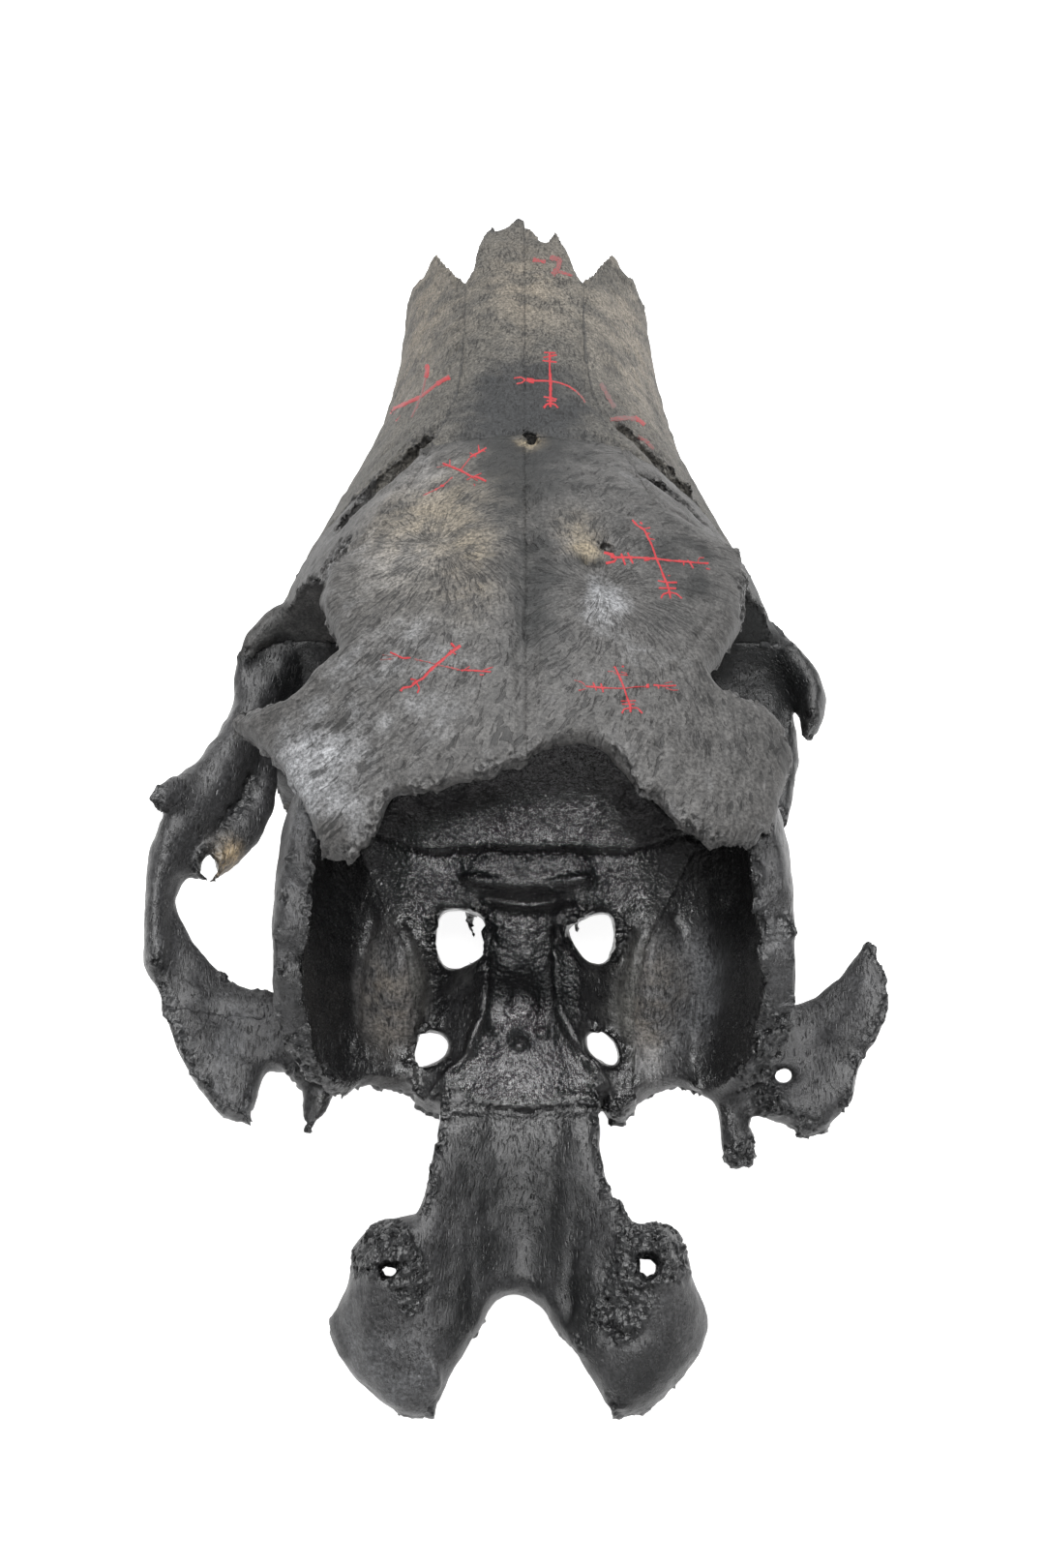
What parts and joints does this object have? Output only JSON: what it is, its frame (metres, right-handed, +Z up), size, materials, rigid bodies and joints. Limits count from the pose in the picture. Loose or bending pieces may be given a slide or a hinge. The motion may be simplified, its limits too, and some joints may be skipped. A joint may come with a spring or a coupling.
{
  "type": "painted elk skull",
  "caption": "Weathered, blackened skull of a cow elk without lower jaw, snout tip or vault, painted with small red crossed staves.",
  "frame": {"origin": "centre of the box at the level of the grinding plane of the cheek teeth, on which the skull rests", "axes": "+X towards the animal's right, +Y along the midline to the snout, +Z up"},
  "size_m": [0.1649, 0.3356, 0.1362],
  "materials": {
    "bone_snout": "matt weathered bone, grey over brown",
    "bone_roof": "matt blackened bone with red painted staves",
    "bone_broken": "rough porous broken bone, blackened",
    "bone_inside": "dark glossy inner bone"
  },
  "bodies": {
    "root": {"nasal_left": "bone_snout", "nasal_right": "bone_snout", "maxilla_left": "bone_snout", "maxilla_right": "bone_snout", "frontal_left": "bone_roof", "frontal_right": "bone_roof", "lacrimal_left": "bone_roof", "lacrimal_right": "bone_roof", "zygomatic_left": "bone_broken", "zygomatic_right": "bone_broken", "temporal_left": "bone_broken", "temporal_right": "bone_broken", "occipital": "bone_broken", "ethmoid": "bone_inside", "sphenoid": "bone_inside", "palatine": "bone_inside"}
  },
  "joints": []
}
